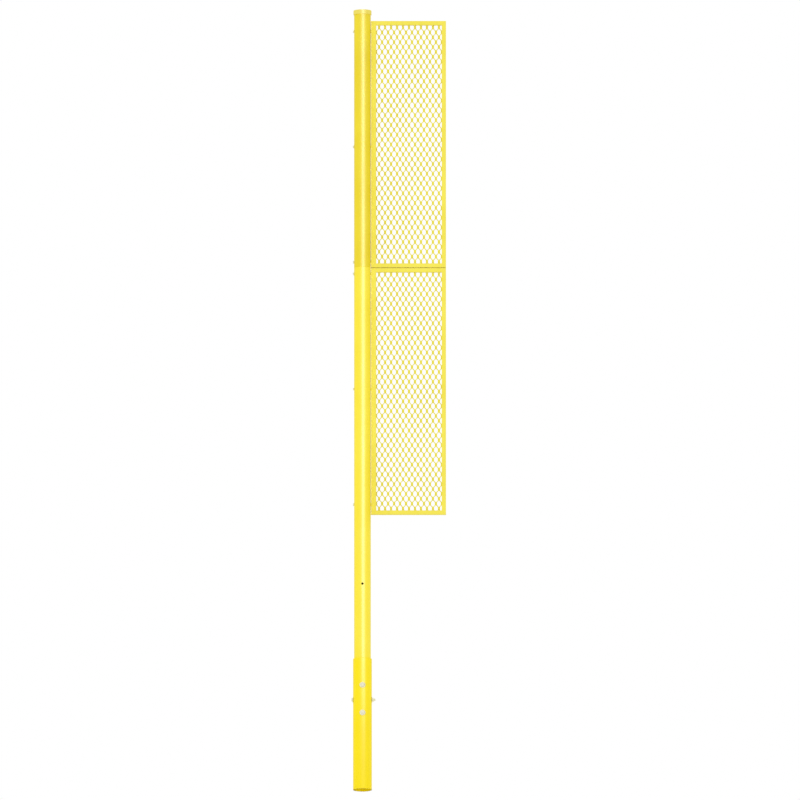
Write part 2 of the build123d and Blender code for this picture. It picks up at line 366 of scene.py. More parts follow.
@dataclass(frozen=True)
class MillSteel:
    """Hot-rolled steel as it leaves the mill: dark blue-grey scale with lighter drawn lines."""

    name: str
    colour: str = "5E5C58"
    scale_colour: str = "35363A"
    draw_mm: float = 1.6
    draw_along_z: float = 0.02
    draw_depth_mm: float = 0.03
    draw_strength: float = 0.3
    roughness_range: tuple[float, float] = (0.42, 0.62)

    def material(self) -> Material:
        """Builds the finish.

        Returns:
            The material, with draw lines along Z in its colour, roughness and bump.
        """
        made, tree, coords = new_material(self.name)
        lines = noise(tree, stretched(tree, coords, self.draw_along_z), self.draw_mm, Detail=3.0)
        close_tree(
            tree,
            {"Metallic": 1.0},
            {
                "Base Color": blend(tree, lines, self.colour, self.scale_colour),
                "Roughness": remap(tree, lines, self.roughness_range),
                "Normal": bumped(tree, lines, self.draw_strength, self.draw_depth_mm),
            },
        )
        return made


@dataclass(frozen=True)
class StudioVinyl:
    """Matt white vinyl sheet under the object, seen only from its upper face."""

    name: str = "matt_vinyl_sheet"
    colour: str = "F4F4F2"
    specular: float = 0.1
    mottle_mm: float = 400.0
    roughness_range: tuple[float, float] = (0.75, 0.95)

    def material(self) -> Material:
        """Builds the finish.

        Returns:
            The material: diffuse with a faint mottle above, and clear from below.
        """
        made, tree, coords = new_material(self.name)
        mottle = noise(tree, coords, self.mottle_mm)
        sheet = add_node(
            tree,
            "ShaderNodeBsdfPrincipled",
            {"Base Color": linear(self.colour), "Specular IOR Level": self.specular},
            {"Roughness": remap(tree, mottle, self.roughness_range)},
        )
        clear = add_node(tree, "ShaderNodeBsdfTransparent")
        under = add_node(tree, "ShaderNodeNewGeometry").outputs["Backfacing"]
        mix = add_node(tree, "ShaderNodeMixShader", links={"Fac": under})
        tree.links.new(sheet.outputs["BSDF"], mix.inputs[1])
        tree.links.new(clear.outputs["BSDF"], mix.inputs[2])
        add_node(tree, "ShaderNodeOutputMaterial", links={"Surface": mix.outputs["Shader"]})
        return made


@dataclass
class Finishes:
    """Every finish on the object, each made once and shared by every piece that wears it."""

    # the two pole sections wear one coat: the upper one's darker yellow is painted shade, and the
    # lower one's lighter, paler yellow is painted light and sheen, so the pole reads darker above
    pole: PowderCoat = PowderCoat("powder_coated_steel_tube", "E1CA20", "E7D22C")
    lower_pole: PowderCoat = PowderCoat("powder_coated_steel_tube_lower_lit", "EFDA30", "F3E03E")
    sleeve: PowderCoat = PowderCoat("powder_coated_steel_pipe", "F1D906", "F4DE0C")
    cap: PowderCoat = PowderCoat("powder_coated_steel_cap", "E1CF55", "E8D762", specular=0.12)
    # the box tubes' yellow is paler than the pole's: the frame's own yellow with a painted sheen
    # mixed in, as the strip light is kept off these flat faces
    wing: PowderCoat = PowderCoat("powder_coated_box_tube", "EADA48", "F0E253", specular=0.3)
    screen: PowderCoat = PowderCoat(
        "powder_coated_expanded_steel", "E2D422", "E8DB2C", specular=0.15, peel_mm=1.4
    )
    zinc: ZincPlate = ZincPlate("zinc_plated_steel")
    steel: MillSteel = MillSteel("mill_finish_steel")
    _made: dict[str, Material] = field(default_factory=dict)

    def get(self, finish: Any) -> Material:
        """The Blender material of a finish, made at its first use."""
        if finish.name not in self._made:
            self._made[finish.name] = finish.material()
        return self._made[finish.name]


# ------ mesh helpers

Piece = bpy.types.Object
BMesh = bmesh.types.BMesh
Ring = Sequence[Vector]
Outline = list[tuple[float, float]]
SHARP_DEG = 35.0
DOUBLES_DISTANCE = 0.001 * MM
CUTTER_SEGMENTS = 40
CUTTER_REACH = 1.4


def mark_sharp(mesh: BMesh, limit_deg: float) -> None:
    """Keeps edges smooth only where they bend by less than a limit."""
    limit = math.radians(limit_deg)
    for edge in mesh.edges:
        edge.smooth = edge.is_manifold and edge.calc_face_angle(0.0) < limit


def object_from(
    name: str, mesh: BMesh, smooth_deg: float = SHARP_DEG
) -> Piece:
    """Turns a bmesh into a scene object with smooth faces and sharp edges by angle.

    Args:
        name: name of the new object.
        mesh: the geometry, which is freed.
        smooth_deg: edges sharper than this stay sharp.

    Returns:
        The new object.
    """
    bmesh.ops.recalc_face_normals(mesh, faces=mesh.faces)
    for face in mesh.faces:
        face.smooth = True
    mark_sharp(mesh, smooth_deg)
    data = bpy.data.meshes.new(name)
    mesh.to_mesh(data)
    mesh.free()
    made = bpy.data.objects.new(name, data)
    bpy.context.scene.collection.objects.link(made)
    return made


def bridge(mesh: BMesh, first: Sequence[Any], second: Sequence[Any]) -> None:
    """Joins two closed loops of vertices of equal length with quads."""
    count = len(first)
    for i in range(count):
        j = (i + 1) % count
        mesh.faces.new((first[i], first[j], second[j], second[i]))


def loft(mesh: BMesh, rings: Sequence[Ring], closed: bool = False) -> None:
    """Adds a surface through closed rings of points.

    Args:
        mesh: the geometry that it goes into.
        rings: rings with the same number of points each.
        closed: joins the last ring to the first in place of flat ends.
    """
    loops = [[mesh.verts.new(p) for p in ring] for ring in rings]
    for first, second in zip(loops, loops[1:]):
        bridge(mesh, first, second)
    if closed:
        bridge(mesh, loops[-1], loops[0])
    else:
        mesh.faces.new(list(reversed(loops[0])))
        mesh.faces.new(loops[-1])


def level_ring(radius: float, height: float, segments: int, start: float = 0.0) -> list[Vector]:
    """Level circle of points about the Z axis, where start counts in steps between two points."""
    turns = [2 * math.pi * (i + start) / segments for i in range(segments)]
    return [Vector((radius * math.cos(t), radius * math.sin(t), height)) for t in turns]


def turned(profile: Outline, segments: int) -> list[list[Vector]]:
    """Rings of a turned piece about the Z axis.

    Args:
        profile: closed outline as radius and height pairs.
        segments: points round the axis.

    Returns:
        One closed ring for each step round the axis, for a closed loft.
    """
    rings = []
    for i in range(segments):
        turn = 2 * math.pi * i / segments
        rings.append([Vector((r * math.cos(turn), r * math.sin(turn), z)) for r, z in profile])
    return rings


def rounded(
    corner: tuple[float, float], start: float, radius: float, steps: int = 5
) -> Outline:
    """Quarter-round about its centre, from a start angle in degrees on by 90."""
    turns = [math.radians(start + 90.0 * i / steps) for i in range(steps + 1)]
    return [(corner[0] + radius * math.cos(t), corner[1] + radius * math.sin(t)) for t in turns]


def placed(piece: Piece, matrix: Matrix) -> Piece:
    """Moves a piece's mesh, so that the object itself stays at the origin."""
    piece.data.transform(matrix)
    return piece


def facing(direction: Vector, origin: Vector) -> Matrix:
    """Matrix that turns +Z to a direction and moves the origin."""
    turn = Vector((0.0, 0.0, 1.0)).rotation_difference(direction).to_matrix().to_4x4()
    return Matrix.Translation(origin) @ turn


def cut_holes(piece: Piece, cutters: Iterable[Piece]) -> None:
    """Cuts exact holes in a piece and removes the cutters.

    Args:
        piece: closed mesh to cut.
        cutters: closed meshes to take away.
    """
    for cutter in cutters:
        cut = piece.modifiers.new("hole", "BOOLEAN")
        cut.operation = "DIFFERENCE"
        cut.solver = "EXACT"
        cut.object = cutter
        graph = bpy.context.evaluated_depsgraph_get()
        solid = bpy.data.meshes.new_from_object(piece.evaluated_get(graph))
        piece.modifiers.clear()
        piece.data = solid
        bpy.data.objects.remove(cutter)
    mesh = bmesh.new()
    mesh.from_mesh(piece.data)
    bmesh.ops.remove_doubles(mesh, verts=mesh.verts, dist=DOUBLES_DISTANCE)
    mark_sharp(mesh, SHARP_DEG)
    mesh.to_mesh(piece.data)
    mesh.free()


def hole_cutter(radius: float, reach: float, centre: Vector, axis: Axis) -> Piece:
    """Round cutter for a cross hole.

    Args:
        radius: radius of the hole.
        reach: half its length.
        centre: middle of the hole.
        axis: direction that it runs along.

    Returns:
        The cutter, ready for cut_holes.
    """
    mesh = bmesh.new()
    loft(mesh, [level_ring(radius, z, CUTTER_SEGMENTS, start=0.5) for z in (-reach, reach)])
    return placed(object_from("cutter", mesh), facing(axis.vector, centre))


@dataclass
class Workshop:
    """Finishes pieces and reports them, so that every piece is dressed the same way."""

    finishes: Finishes = field(default_factory=Finishes)
    count: int = 0

    def paint(self, piece: Piece, finish: Any) -> None:
        """Gives a piece one finish and counts it."""
        piece.data.materials.clear()
        piece.data.materials.append(self.finishes.get(finish))
        self.count += 1

    def dress(self, piece: Piece, finish: Any, slot: str, nodes: Sequence[str]) -> None:
        """Gives a new piece its finish and body, and lets it stand for its CAD nodes.

        Args:
            piece: the finished mesh.
            finish: what it is coated with.
            slot: the record's material slot; not used.
            nodes: CAD nodes that it stands for.
        """
        self.paint(piece, finish)
        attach(piece, BODY)
        if nodes:
            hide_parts(*nodes)
        stood_for = ", ".join(nodes) or "no CAD node"
        LOG.info("%s: %s, stands for %s", piece.name, finish.name, stood_for)

    def coat(self, node: str, finish: Any) -> None:
        """Gives a CAD node that stays in view its finish."""
        self.paint(frame["nodes"][node], finish)
        LOG.info("%s: %s, as the CAD has it", node, finish.name)


@dataclass
class Assembly:
    """Sub-assembly whose pieces are dressed in a workshop."""

    workshop: Workshop

    @property
    def finishes(self) -> Finishes:
        """The workshop's finishes."""
        return self.workshop.finishes

    def build(self) -> None:
        """Builds every piece of the sub-assembly."""
        raise NotImplementedError


# ------ the pole and its sleeve


@dataclass
class TubeSizes:
    """Sizes of one round tube on the pole's axis, in metres."""

    radius: float
    bore: float
    bottom: float
    top: float

    @classmethod
    def of(cls, node: str, wall_mm: float) -> "TubeSizes":
        """Reads a tube's sizes from its CAD node and its wall.

        Args:
            node: name of the CAD node.
            wall_mm: wall thickness in millimetres.

        Returns:
            The sizes.
        """
        low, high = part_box(node)
        radius = (high.x - low.x) / 2
        return cls(radius, radius - wall_mm * MM, low.z, high.z)


@dataclass
class PoleAndSleeve(Assembly):
    """Ground sleeve, two pole sections, their splice tube and the cap."""

    segments: int = 96
    pole_wall_mm: float = 3.05
    sleeve_wall_mm: float = 6.02
    end_break_mm: float = 0.8
    sleeve_round_mm: float = 3.5
    bore_break_mm: float = 1.0
    wing_hole_mm: float = 10.3
    sleeve_hole_mm: float = 14.3
    spare_hole_rise: float = 0.4572
    cap_wall_mm: float = 4.0
    cap_plate_mm: float = 3.0
    cap_round_mm: float = 3.0
    pole: TubeSizes = field(init=False)
    sleeve: TubeSizes = field(init=False)

    def __post_init__(self) -> None:
        """Reads the tubes' sizes from the frame."""
        self.pole = TubeSizes.of("lower_pole", self.pole_wall_mm)
        self.sleeve = TubeSizes.of("ground_sleeve", self.sleeve_wall_mm)

    def tube_profile(self, tube: TubeSizes, top_round: float) -> Outline:
        """Outline of a tube's wall.

        Args:
            tube: sizes of the tube.
            top_round: radius on its upper outside edge.

        Returns:
            Closed outline as radius and height pairs, with broken edges.
        """
        bevel = self.end_break_mm * MM
        corner = (tube.radius - top_round, tube.top - top_round)
        outside = [(tube.radius - bevel, tube.bottom), (tube.radius, tube.bottom + bevel)]
        top = [*rounded(corner, 0.0, top_round), (tube.bore + bevel / 2, tube.top)]
        return [*outside, *top, (tube.bore, tube.top - bevel / 2), (tube.bore, tube.bottom)]

    def sleeve_holes(self) -> list[Piece]:
        """Cutters for the sleeve's three cross bolts."""
        reach = self.sleeve.radius * CUTTER_REACH
        radius = self.sleeve_hole_mm / 2 * MM
        return [
            hole_cutter(radius, reach, Vector((0, 0, centre_of(f"sleeve_bolt_{spot}").z)), axis)
            for spot, axis in SLEEVE_BOLT_AXES.items()
        ]

    def wing_holes(self, tube: TubeSizes) -> list[Piece]:
        """Cutters for the wing bolts that cross a tube.

        Args:
            tube: sizes of the tube.

        Returns:
            One cutter for each bolt between the tube's ends.
        """
        bolts = [f"{panel}_wing_bolt_{spot}" for panel in PANELS for spot in WING_SPOTS]
        inside = [z for z in (centre_of(b).z for b in bolts) if tube.bottom < z < tube.top]
        reach = self.pole.radius * CUTTER_REACH
        radius = self.wing_hole_mm / 2 * MM
        return [hole_cutter(radius, reach, Vector((0, 0, z)), Axis.ACROSS) for z in inside]

    def round_tube(self, name: str, tube: TubeSizes, top_round: float) -> Piece:
        """Builds a tube from its wall's outline."""
        mesh = bmesh.new()
        loft(mesh, turned(self.tube_profile(tube, top_round), self.segments), closed=True)
        return object_from(name, mesh)

    def build_sleeve(self) -> None:
        """Pipe with a rounded rim and three cross holes."""
        piece = self.round_tube("sleeve_pipe", self.sleeve, self.sleeve_round_mm * MM)
        cut_holes(piece, self.sleeve_holes())
        self.workshop.dress(piece, self.finishes.sleeve, "sleeve_paint", ["ground_sleeve"])

    def build_lower_pole(self) -> None:
        """Lower section with its bolt holes and the spare hole on the front."""
        piece = self.round_tube("lower_pole_tube", self.pole, self.end_break_mm * MM)
        spare_at = Vector((0, 0, self.sleeve.top + self.spare_hole_rise))
        radius, reach = self.sleeve_hole_mm / 2 * MM, self.pole.radius * CUTTER_REACH
        spare = hole_cutter(radius, reach, spare_at, Axis.FRONT_TO_BACK)
        cut_holes(piece, [*self.sleeve_holes(), *self.wing_holes(self.pole), spare])
        self.workshop.dress(piece, self.finishes.lower_pole, "pole_paint", ["lower_pole"])

    def build_upper_pole(self) -> None:
        """Upper section with its bolt holes."""
        tube = TubeSizes.of("upper_pole", self.pole_wall_mm)
        piece = self.round_tube("upper_pole_tube", tube, self.end_break_mm * MM)
        cut_holes(piece, self.wing_holes(tube))
        self.workshop.dress(piece, self.finishes.pole, "pole_paint", ["upper_pole"])

    def build_cap(self) -> None:
        """Pressed cap: flat top, rounded rim and a skirt with a rolled lip."""
        low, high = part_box("pole_cap")
        radius = (high.x - low.x) / 2
        bore = radius - self.cap_wall_mm * MM
        rim = self.cap_round_mm * MM
        lip = self.bore_break_mm * MM
        under = high.z - self.cap_plate_mm * MM
        profile = [
            (radius - lip, low.z),
            (radius, low.z + lip),
            *rounded((radius - rim, high.z - rim), 0.0, rim),
        ]
        outline = [(bore, under), (bore, low.z), *profile]
        mesh = bmesh.new()
        loft(mesh, [level_ring(r, z, self.segments) for r, z in outline])
        piece = object_from("cap_pressing", mesh)
        self.workshop.dress(piece, self.finishes.cap, "cap_paint", ["pole_cap"])

    def build(self) -> None:
        """Builds every piece of the pole and its sleeve."""
        self.build_sleeve()
        self.build_lower_pole()
        self.build_upper_pole()
        self.build_cap()
        self.workshop.coat("splice_tube", self.finishes.steel)


# ------ the wing's panels


@dataclass
class WingPanel(Assembly):
    """One framed panel of the wing: four mitred box tubes, their welds and the screen."""

    panel: str
    wall_mm: float = 2.1
    corner_mm: float = 3.2
    corner_steps: int = 5
    least_corner_mm: float = 0.4
    insert_hole_mm: float = 13.7
    diamond_width_mm: float = 36.5
    diamond_height_mm: float = 60.4
    strand_width_mm: float = 6.8
    strand_thickness_mm: float = 3.2
    strand_chamfer_mm: float = 0.7
    bond_length_mm: float = 17.0
    strand_tilt_deg: float = 30.0
    strand_easing: float = 0.35
    rings_per_row: int = 10
    screen_bite_mm: float = 0.4
    screen_smooth_deg: float = 50.0
    weld_mm: float = 2.2
    weld_flatness: float = 0.32
    weld_ripple_mm: float = 3.0
    weld_ripple_share: float = 0.12
    weld_rings_per_ripple: int = 4
    weld_points: int = 10
    weld_taper: float = 6.0
    weld_end_share: float = 0.35
    weld_inset: float = 1.2
    weld_sink_mm: float = 0.1
    weld_smooth_deg: float = 80.0
    low: Vector = field(init=False)
    high: Vector = field(init=False)
    inner_width: float = field(init=False)
    outer_width: float = field(init=False)
    rail_width: float = field(init=False)

    def __post_init__(self) -> None:
        """Reads the panel's outline and its members' widths from the frame."""
        self.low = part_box(f"{self.panel}_inner_stile")[0]
        self.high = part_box(f"{self.panel}_outer_stile")[1]
        self.inner_width = extent_of(f"{self.panel}_inner_stile").x
        self.outer_width = extent_of(f"{self.panel}_outer_stile").x
        self.rail_width = extent_of(f"{self.panel}_top_rail").z

    @property
    def window(self) -> tuple[Vector, Vector]:
        """Lowest and highest corners of the space inside the frame."""
        inset = Vector((self.inner_width, 0.0, self.rail_width))
        far_inset = Vector((self.outer_width, 0.0, self.rail_width))
        return self.low + inset, self.high - far_inset

    def section(self, width: float, shrink: float) -> Outline:
        """Rounded rectangle of a box tube.

        Args:
            width: the tube's width, from the panel's outside edge to the window.
            shrink: how far the outline lies inside the tube's outer face.

        Returns:
            Points as distance from the outside edge and depth about the middle.
        """
        depth = self.high.y - self.low.y
        radius = max(self.corner_mm * MM - shrink, self.least_corner_mm * MM)
        near, far = shrink + radius, width - shrink - radius
        side = depth / 2 - shrink - radius
        centres = ((far, side), (near, side), (near, -side), (far, -side))
        points = []
        for quarter, centre in enumerate(centres):
            points += rounded(centre, 90.0 * quarter, radius, self.corner_steps)
        return points

    def member_point(self, side: Side, along_end: int, u: float, depth: float) -> Vector:
        """Place of a section's point on the mitre at one end of a member.

        Args:
            side: which member it is.
            along_end: 0 for its first end, 1 for its last.
            u: distance in from the panel's outside edge.
            depth: place through the panel's depth.

        Returns:
            The point, on the mitre plane.
        """
        middle_y = (self.low.y + self.high.y) / 2
        if side in (Side.LEFT, Side.RIGHT):
            width = self.inner_width if side is Side.LEFT else self.outer_width
            x = self.low.x + u if side is Side.LEFT else self.high.x - u
            mitre = u / width * self.rail_width
            z = self.low.z + mitre if along_end == 0 else self.high.z - mitre
            return Vector((x, middle_y + depth, z))
        z = self.high.z - u if side is Side.TOP else self.low.z + u
        share = u / self.rail_width
        start = self.low.x + share * self.inner_width
        end = self.high.x - share * self.outer_width
        return Vector((start if along_end == 0 else end, middle_y + depth, z))

    def build_member(self, side: Side, node: str) -> None:
        """Builds one mitred box tube with its hollow.

        Args:
            side: which member it is.
            node: CAD node that it stands for.
        """
        widths = {Side.LEFT: self.inner_width, Side.RIGHT: self.outer_width}
        width = widths.get(side, self.rail_width)
        outside = self.section(width, 0.0)
        inside = self.section(width, self.wall_mm * MM)
        order = ((outside, 0), (outside, 1), (inside, 1), (inside, 0))
        rings = [[self.member_point(side, end, u, d) for u, d in loop] for loop, end in order]
        mesh = bmesh.new()
        loft(mesh, rings, closed=True)
        piece = object_from(f"{node}_tube", mesh)
        if side is Side.LEFT:
            cut_holes(piece, self.insert_holes())
        self.workshop.dress(piece, self.finishes.wing, "wing_paint", [node])

    def insert_holes(self) -> list[Piece]:
        """Cutters for the threaded inserts, through the pole-side wall alone."""
        radius = self.insert_hole_mm / 2 * MM
        reach = 2 * self.wall_mm * MM
        heights = [centre_of(f"{self.panel}_wing_insert_{spot}").z for spot in WING_SPOTS]
        places = [Vector((self.low.x, 0, z)) for z in heights]
        return [hole_cutter(radius, reach, place, Axis.ACROSS) for place in places]

    def strand_centre(self, height: float, column: int, middle: Vector) -> Vector:
        """Centre of a zigzag strand at a height.

        The strand runs from the right half of the bonds in one column to the left half of those in
        the next, and stays upright along each bond.

        Args:
            height: height above the screen's middle.
            column: index of the bond column on its left.
            middle: middle of the screen.

        Returns:
            The centre of its level section.
        """
        half_pitch = self.diamond_width_mm / 2 * MM
        half_row = self.diamond_height_mm / 2 * MM
        bond = self.bond_length_mm / 2 * MM
        phase = (height / half_row + column) % 2.0
        swing = phase if phase <= 1.0 else 2.0 - phase
        flat = bond / half_row
        share = min(max((swing - flat) / (1.0 - 2.0 * flat), 0.0), 1.0)
        share += self.strand_easing * (share * share * (3.0 - 2.0 * share) - share)
        tilt = math.radians(self.strand_tilt_deg)
        half_strand = self.strand_width_mm / 2 * MM
        offset = half_strand * (1.0 - 2.0 * share)
        x = (column + share) * half_pitch + offset * math.cos(tilt)
        return middle + Vector((x, -offset * math.sin(tilt), height))

    def strand_section(self) -> list[Vector]:
        """Level section of a strand: a tilted rectangle with chamfered corners."""
        half_width = self.strand_width_mm / 2 * MM
        half_depth = self.strand_thickness_mm / 2 * MM
        cut = self.strand_chamfer_mm * MM
        tilt = math.radians(self.strand_tilt_deg)
        along = Vector((math.cos(tilt), -math.sin(tilt), 0.0))
        through = Vector((math.sin(tilt), math.cos(tilt), 0.0))
        points = []
        for su, sv in ((1, 1), (-1, 1), (-1, -1), (1, -1)):
            long_cut = (half_width - cut, half_depth)
            short_cut = (half_width, half_depth - cut)
            pair = (short_cut, long_cut) if su * sv > 0 else (long_cut, short_cut)
            points += [along * (su * u) + through * (sv * v) for u, v in pair]
        return points

    def build_screen(self) -> None:
        """Raised expanded metal: zigzag strands that meet side by side at their bonds."""
        low, high = self.window
        middle = (low + high) / 2
        bite = self.screen_bite_mm * MM
        half_height = (high.z - low.z) / 2 + bite
        half_width = (high.x - low.x) / 2
        half_pitch = self.diamond_width_mm / 2 * MM
        columns = math.ceil(half_width / half_pitch)
        half_row = self.diamond_height_mm / 2 * MM
        steps = 2 * math.ceil(half_height / half_row * self.rings_per_row)
        left, right = low.x - bite, high.x + bite
        section = self.strand_section()
        mesh = bmesh.new()
        for column in range(-columns, columns):
            rings = []
            for i in range(steps + 1):
                height = -half_height + 2 * half_height * i / steps
                centre = self.strand_centre(height, column, middle)
                ring = [centre + p for p in section]
                rings.append([Vector((min(max(p.x, left), right), p.y, p.z)) for p in ring])
            loft(mesh, rings)
        node = f"{self.panel}_screen"
        piece = object_from(f"{node}_mesh", mesh, self.screen_smooth_deg)
        self.workshop.dress(piece, self.finishes.screen, "screen_paint", [node])

    def weld_bead(
        self, mesh: BMesh, start: Vector, end: Vector, up: Vector
    ) -> None:
        """Lays one fillet bead with the ripples of its weld pool.

        Args:
            mesh: the geometry that it goes into.
            start: first end of the bead's centre line.
            end: last end of it.
            up: direction that the bead stands out in.
        """
        length = (end - start).length
        along = (end - start).normalized()
        across = along.cross(up).normalized()
        ripples = length / (self.weld_ripple_mm * MM)
        steps = max(int(ripples * self.weld_rings_per_ripple), 6)
        turns = [2 * math.pi * k / self.weld_points for k in range(self.weld_points)]
        rings = []
        for i in range(steps + 1):
            share = i / steps
            wave = 1.0 + self.weld_ripple_share * math.sin(2 * math.pi * share * ripples)
            ends = min(1.0, self.weld_taper * min(share, 1.0 - share) + self.weld_end_share)
            size = self.weld_mm * MM * wave * ends
            rise = self.weld_flatness * size
            centre = start + along * (share * length)
            rings.append(
                [centre + across * (size * math.cos(t)) + up * (rise * math.sin(t)) for t in turns]
            )
        loft(mesh, rings)

    def build_welds(self) -> None:
        """Beads over the four mitres, on the front and back faces."""
        low, high = self.window
        inset = self.corner_mm * MM * self.weld_inset
        mesh = bmesh.new()
        for outer_z, inner_z in ((self.low.z, low.z), (self.high.z, high.z)):
            for outer_x, inner_x in ((self.low.x, low.x), (self.high.x, high.x)):
                outer, inner = Vector((outer_x, 0, outer_z)), Vector((inner_x, 0, inner_z))
                step = (inner - outer).normalized() * inset
                for y, up in ((self.low.y, -1.0), (self.high.y, 1.0)):
                    lift = Vector((0.0, y - up * self.weld_sink_mm * MM, 0.0))
                    ends = (outer + step + lift, inner - step + lift)
                    self.weld_bead(mesh, *ends, Vector((0.0, up, 0.0)))
        piece = object_from(f"{self.panel}_frame_welds", mesh, self.weld_smooth_deg)
        self.workshop.dress(piece, self.finishes.wing, "wing_paint", [])

    def build(self) -> None:
        """Builds every piece of the panel."""
        members = ("inner_stile", "outer_stile", "top_rail", "bottom_rail")
        for side, member in zip(Side, members):
            self.build_member(side, f"{self.panel}_{member}")
        self.build_welds()
        self.build_screen()


# ------ fasteners


SPOT_FACE_SHARE = 0.93  # of a hexagon's flats, at its end faces
CHAMFER_SLOPE = 0.52  # height for each unit of width, about 30 degrees with a round


@dataclass(frozen=True)
class HexFastener:
    """Sizes of one size of hex bolt, with its nut and washer, in millimetres."""

    diameter: float
    flats: float
    head_height: float
    pitch: float
    washer_diameter: float
    washer_thickness: float
    nut_height: float = 0.0
    thread_length: float = 0.0
    segments: int = 48
    head_smooth_deg: float = 28.0
    crown_step: float = 0.08
    crown_share: float = 0.97
    chamfer_steps: int = 4
    bearing_share: float = 0.95
    bearing_height: float = 0.35
    shank_fit: float = 0.02
    runout: float = 0.3
    thread_depth_share: float = 0.61
    thread_fit: float = 0.06
    thread_steps: int = 10
    crest_share: float = 0.12
    tip_share: float = 0.7
    nut_fit: float = 0.04
    lead_in: float = 0.8
    washer_fit: float = 0.4
    washer_edge: float = 0.3
    washer_segments: int = 64

    @property
    def thread_depth(self) -> float:
        """Depth of a 60 degree thread with the usual flats."""
        return self.thread_depth_share * self.pitch

    @property
    def corner(self) -> float:
        """Radius of the hexagon's corners."""
        return self.flats / math.sqrt(3)

    @property
    def crown(self) -> float:
        """Radius of the round face that the chamfer leaves."""
        return self.flats / 2 * SPOT_FACE_SHARE

    @property
    def chamfer(self) -> float:
        """Height of the chamfer on the hexagon's corners."""
        return (self.corner - self.crown) * CHAMFER_SLOPE

    def hex_radius(self, turn: float) -> float:
        """Radius of the hexagon's side at an angle."""
        sector = math.pi / 3
        return self.flats / 2 / math.cos((turn + sector / 2) % sector - sector / 2)

    def hex_ring(self, height: float, limit: float, spin: float) -> list[Vector]:
        """Level ring of the hexagon, cut to a circle.

        Args:
            height: height of the ring, in millimetres.
            limit: radius that no point passes, which makes the chamfer.
            spin: turn of the hexagon about the bolt's axis, in radians.

        Returns:
            The ring's points, in metres.
        """
        points = []
        for i in range(self.segments):
            turn = 2 * math.pi * i / self.segments
            radius = min(self.hex_radius(turn), limit)
            spun = turn + spin
            points.append(Vector((radius * math.cos(spun), radius * math.sin(spun), height)) * MM)
        return points

    def circle(self, radius: float, height: float) -> list[Vector]:
        """Level circle of points, in metres, from sizes in millimetres."""
        return [point * MM for point in level_ring(radius, height, self.segments)]

    def head_rings(self, spin: float) -> list[list[Vector]]:
        """Rings of the head, from its crown down to the washer face at height 0."""
        top = -self.head_height
        shoulder = top + self.crown_step
        rings = [self.hex_ring(top, self.crown * self.crown_share, spin)]
        for i in range(self.chamfer_steps + 1):
            share = i / self.chamfer_steps
            limit = self.crown + (self.corner - self.crown) * share
            rings.append(self.hex_ring(shoulder + self.chamfer * share, limit, spin))
        bearing = self.flats / 2 * self.bearing_share
        rings.append(self.hex_ring(-self.bearing_height, self.corner, spin))
        rings.append(self.circle(bearing, -self.bearing_height))
        rings.append(self.circle(bearing, 0.0))
        return rings

    def thread_rings(self, start: float, end: float) -> list[list[Vector]]:
        """Rings of a threaded shank between two heights in millimetres."""
        steps = max(int((end - start) / self.pitch * self.thread_steps), 2)
        slope_share = 1.0 - 2.0 * self.crest_share
        tip_length = self.tip_share * self.pitch
        crest = self.diameter / 2 - self.thread_fit
        rings = []
        for i in range(steps + 1):
            height = start + (end - start) * i / steps
            fade = min(1.0, (end - height) / self.pitch)
            tip_drop = self.thread_depth * (1.0 - min(1.0, (end - height) / tip_length))
            ring = []
            for k in range(self.segments):
                turn = 2 * math.pi * k / self.segments
                phase = (height / self.pitch - k / self.segments) % 1.0
                ridge = (abs(2.0 * phase - 1.0) - self.crest_share) / slope_share
                ridge = min(max(ridge, 0.0), 1.0)
                radius = crest - self.thread_depth * ridge * fade - tip_drop
                ring.append(Vector((radius * math.cos(turn), radius * math.sin(turn), height)) * MM)
            rings.append(ring)
        return rings

    def bolt(self, name: str, length: float, spin: float) -> Piece:
        """Builds a bolt along +Z with the underside of its head at height 0.

        Args:
            name: name of the piece.
            length: length under the head, in millimetres.
            spin: turn of the head, in radians.

        Returns:
            The bolt.
        """
        mesh = bmesh.new()
        shank = self.diameter / 2 - self.shank_fit
        thread_start = length - self.thread_length
        plain = [self.circle(shank, z) for z in (self.shank_fit, thread_start - self.runout)]
        threaded = self.thread_rings(thread_start, length)
        loft(mesh, [*self.head_rings(spin), *plain, *threaded])
        return object_from(name, mesh, self.head_smooth_deg)

    def nut(self, name: str, spin: float) -> Piece:
        """Builds a nut from height 0 up, chamfered at both ends.

        Args:
            name: name of the piece.
            spin: turn of the nut, in radians.

        Returns:
            The nut.
        """
        top, bore = self.nut_height, self.diameter / 2 + self.nut_fit
        mouth = bore + self.lead_in
        outside = (
            (0.0, self.crown),
            (self.chamfer, self.corner),
            (top - self.chamfer, self.corner),
            (top, self.crown),
        )
        inside = ((mouth, top), (bore, top - self.lead_in), (bore, self.lead_in), (mouth, 0.0))
        rings = [self.hex_ring(height, limit, spin) for height, limit in outside]
        rings += [self.circle(radius, height) for radius, height in inside]
        mesh = bmesh.new()
        loft(mesh, rings, closed=True)
        return object_from(name, mesh, self.head_smooth_deg)

    def washer(self, name: str) -> Piece:
        """Builds a stamped washer from height 0 up, with the rolled edge of its blanked side."""
        outer = self.washer_diameter / 2
        inner = self.diameter / 2 + self.washer_fit
        edge, top = self.washer_edge, self.washer_thickness
        profile = [
            (outer - edge / 2, 0.0),
            (outer, edge / 2),
            (outer, top - edge),
            (outer - edge, top),
            (inner + edge, top),
            (inner, top - edge),
            (inner, 0.0),
        ]
        metres = [(r * MM, z * MM) for r, z in profile]
        mesh = bmesh.new()
        loft(mesh, turned(metres, self.washer_segments), closed=True)
        return object_from(name, mesh)


